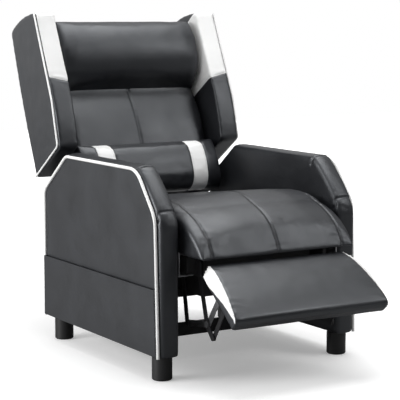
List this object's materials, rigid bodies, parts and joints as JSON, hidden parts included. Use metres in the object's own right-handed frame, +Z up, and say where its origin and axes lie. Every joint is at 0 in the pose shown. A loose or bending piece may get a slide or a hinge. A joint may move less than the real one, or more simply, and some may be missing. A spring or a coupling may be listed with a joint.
{
  "type": "recliner chair",
  "caption": "Upholstered gaming recliner with winged tilting back, head and lumbar cushions, side pockets and a linkage footrest.",
  "frame": {"origin": "On the floor below the middle of the whole chair's bounding box, footrest at its rest angle.", "axes": "+X to the sitter's left, +Y to the rear, +Z up; the chair faces -Y."},
  "size_m": [0.695, 1.2404, 1.0219],
  "materials": {
    "black_leatherette": "soft sheen, pebbled grain",
    "white_leatherette": "soft sheen, pebbled grain",
    "black_fabric": "matt woven cover",
    "wood_board": "raw plywood",
    "black_steel": "satin black paint",
    "bright_steel": "bright zinc",
    "spring_steel": "oiled wire",
    "leg_plastic": "matt moulded"
  },
  "bodies": {
    "base": {"arm_brackets": "bright_steel", "arm_core_left": "black_leatherette", "arm_core_right": "black_leatherette", "arm_front_pad_left": "black_leatherette", "arm_front_pad_right": "black_leatherette", "arm_front_panel_left": "black_leatherette", "arm_front_panel_right": "black_leatherette", "arm_piping": "white_leatherette", "arm_pocket_left": "black_leatherette", "arm_pocket_right": "black_leatherette", "arm_side_panel_left": "black_leatherette", "arm_side_panel_right": "black_leatherette", "arm_top_pad_left": "black_leatherette", "arm_top_pad_right": "black_leatherette", "front_cross_rail": "black_fabric", "leg_front_left": "leg_plastic", "leg_front_right": "leg_plastic", "leg_plates": "black_steel", "leg_rear_left": "leg_plastic", "leg_rear_right": "leg_plastic", "mechanism_bolts": "bright_steel", "mechanism_plate_left": "black_steel", "mechanism_plate_right": "black_steel", "rear_cross_rail": "black_fabric", "seat_brackets": "black_steel", "seat_cushion": "black_leatherette", "seat_front_board": "black_fabric", "seat_rear_board": "black_fabric", "seat_side_board_left": "black_fabric", "seat_side_board_right": "black_fabric", "seat_springs": "spring_steel", "side_rail_left": "black_fabric", "side_rail_right": "black_fabric"},
    "rear_link": {"rear_link_right": "black_steel", "rear_link_left": "black_steel"},
    "front_link": {"front_link_right": "black_steel", "front_link_left": "black_steel"},
    "footrest_link": {"footrest_link_right": "bright_steel", "footrest_link_left": "bright_steel"},
    "control_link": {"control_links": "black_steel"},
    "footrest": {"footrest_bracket_right": "black_steel", "footrest_bracket_left": "black_steel", "footrest_board": "wood_board", "footrest_pad": "black_leatherette", "footrest_gussets": "white_leatherette"},
    "backrest": {"back_post_right": "wood_board", "back_post_left": "wood_board", "back_rails": "wood_board", "back_hinge_plate_right": "black_steel", "back_hinge_plate_left": "black_steel", "hinge_plate_bolts": "bright_steel", "back_cushion": "black_leatherette", "head_cushion": "black_leatherette", "lumbar_cushion": "black_leatherette", "rear_cover": "black_fabric", "wing_right": "black_leatherette", "wing_left": "black_leatherette", "wing_facing_right": "white_leatherette", "wing_facing_left": "white_leatherette", "wing_piping": "white_leatherette"}
  },
  "joints": [
    {"name": "rear_link_swing", "type": "hinge", "parent": "base", "child": "rear_link", "pos_m": [0, -0.2598, 0.305], "axis": [-1, 0, 0], "range_deg": [-35.9, 31.8]},
    {"name": "footrest_link_swing", "type": "hinge", "parent": "rear_link", "child": "footrest_link", "pos_m": [0, -0.2868, 0.145], "axis": [-1, 0, 0], "range_deg": [-27.34, 30.85]},
    {"name": "footrest_tilt", "type": "hinge", "parent": "footrest_link", "child": "footrest", "pos_m": [0, -0.4758, 0.281], "axis": [-1, 0, 0], "range_deg": [-42.66, 37.8]},
    {"name": "front_link_swing", "type": "hinge", "parent": "base", "child": "front_link", "pos_m": [0, -0.3508, 0.309], "axis": [-1, 0, 0], "range_deg": [-37.97, 33.65]},
    {"name": "control_link_swing", "type": "hinge", "parent": "front_link", "child": "control_link", "pos_m": [0, -0.4218, 0.127], "axis": [-1, 0, 0], "range_deg": [-28.31, 31.95]},
    {"name": "back_recline", "type": "hinge", "parent": "base", "child": "backrest", "pos_m": [0, 0.3322, 0.4], "axis": [-1, 0, 0], "range_deg": [-8, 35]}
  ],
  "couplings": [
    {"joint": "footrest_link_swing", "follows": "rear_link_swing", "ratio": -0.8565},
    {"joint": "footrest_tilt", "follows": "rear_link_swing", "ratio": 1.1856},
    {"joint": "front_link_swing", "follows": "rear_link_swing", "ratio": 1.055},
    {"joint": "control_link_swing", "follows": "rear_link_swing", "ratio": -0.8872}
  ]
}
